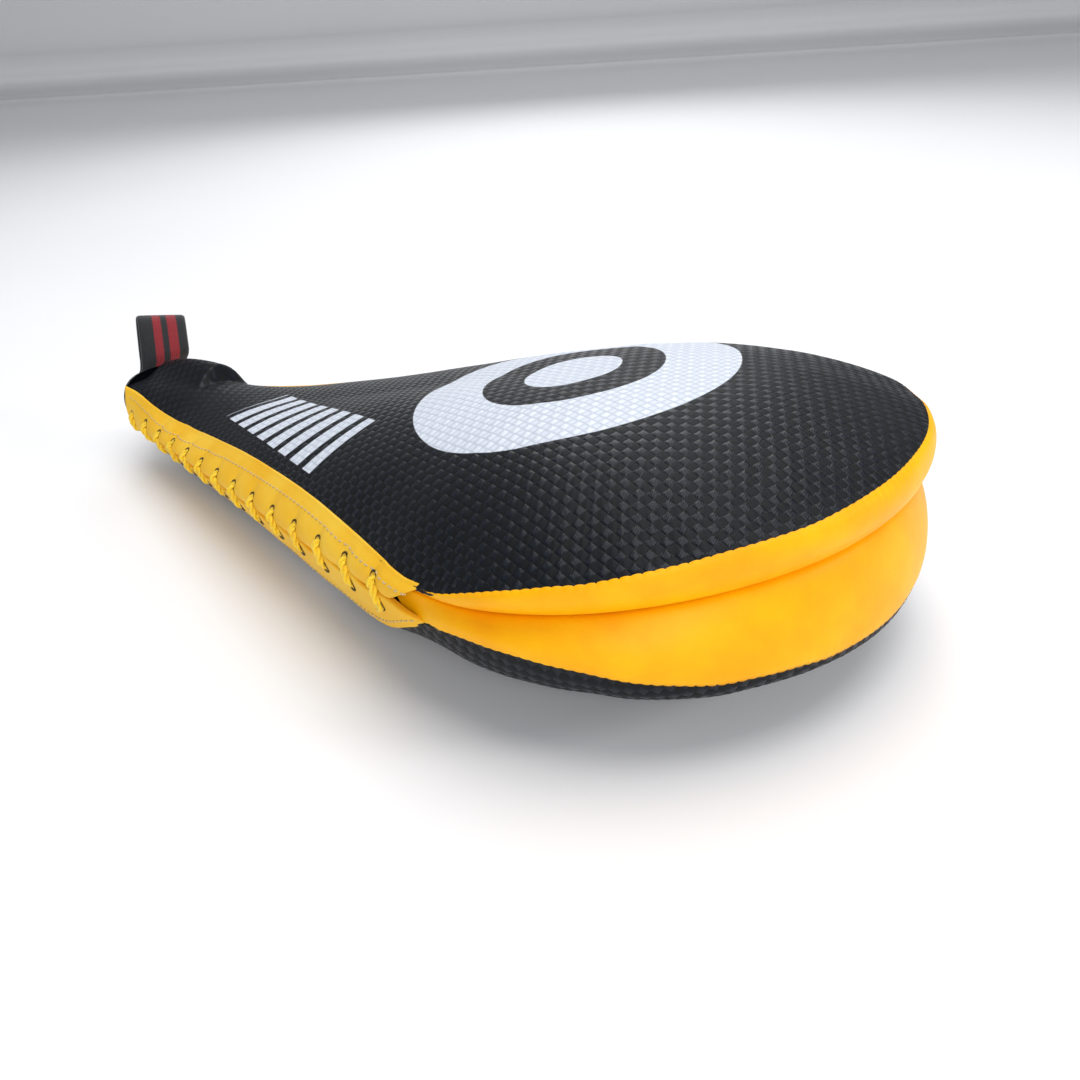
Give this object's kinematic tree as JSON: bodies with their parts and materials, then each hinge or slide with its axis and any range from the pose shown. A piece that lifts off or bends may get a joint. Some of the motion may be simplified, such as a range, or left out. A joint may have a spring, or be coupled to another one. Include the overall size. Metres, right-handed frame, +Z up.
{
  "type": "double kick target paddle",
  "caption": "Hand-held double kick target: padded blades that clap together, laced to one flat handle, with an elastic wrist loop at the butt.",
  "frame": {"origin": "centre of the flat where the lower blade rests on the floor", "axes": "+X along the paddle from the butt towards the tip, +Z up from the floor the paddle lies on, +Y to the left"},
  "size_m": [0.4311, 0.214, 0.0855],
  "materials": {
    "black_cover": "black artificial leather embossed with a basket weave, semi-gloss",
    "yellow_cover": "amber yellow artificial leather, fine grain, satin",
    "yellow_facing": "yellow artificial leather facing, satin",
    "lacing_cord": "braided synthetic cord",
    "eyelet": "small dark antique eyelets",
    "elastic": "woven elastic webbing with two red stripes",
    "foam": "closed-cell foam padding, hidden",
    "board": "stiff inner board, hidden"
  },
  "bodies": {
    "handle": {"handle_core": "board", "upper_handle_face": "black_cover", "upper_handle_foam": "foam", "upper_right_facing": "yellow_facing", "upper_right_eyelets": "eyelet", "upper_left_facing": "yellow_facing", "upper_left_eyelets": "eyelet", "lower_handle_face": "black_cover", "lower_handle_foam": "foam", "lower_right_facing": "yellow_facing", "lower_right_eyelets": "eyelet", "lower_left_facing": "yellow_facing", "lower_left_eyelets": "eyelet", "butt_cap": "black_cover", "right_lacing": "lacing_cord", "left_lacing": "lacing_cord", "wrist_loop_anchor": "elastic"},
    "upper_blade": {"upper_blade_face": "black_cover", "upper_blade_gusset": "yellow_cover", "upper_blade_inner_panel": "yellow_cover", "upper_blade_foam": "foam", "upper_blade_flex_plate": "board"},
    "lower_blade": {"lower_blade_face": "black_cover", "lower_blade_gusset": "yellow_cover", "lower_blade_inner_panel": "yellow_cover", "lower_blade_foam": "foam", "lower_blade_flex_plate": "board"},
    "wrist_loop": {"wrist_loop": "elastic"}
  },
  "joints": [
    {"name": "upper_blade_flex", "type": "hinge", "parent": "handle", "child": "upper_blade", "pos_m": [-0.02695, 0, 0.03839], "axis": [0, -1, 0], "range_deg": [0, 12], "stiffness_Nm_per_rad": 6},
    {"name": "lower_blade_flex", "type": "hinge", "parent": "handle", "child": "lower_blade", "pos_m": [-0.02695, 0, 0.03839], "axis": [0, 1, 0], "range_deg": [0, 12], "stiffness_Nm_per_rad": 6},
    {"name": "wrist_loop_swing", "type": "hinge", "parent": "handle", "child": "wrist_loop", "pos_m": [-0.31332, 0.006, 0.02588], "axis": [0, -1, 0], "range_deg": [-12, 70], "stiffness_Nm_per_rad": 0.05}
  ]
}
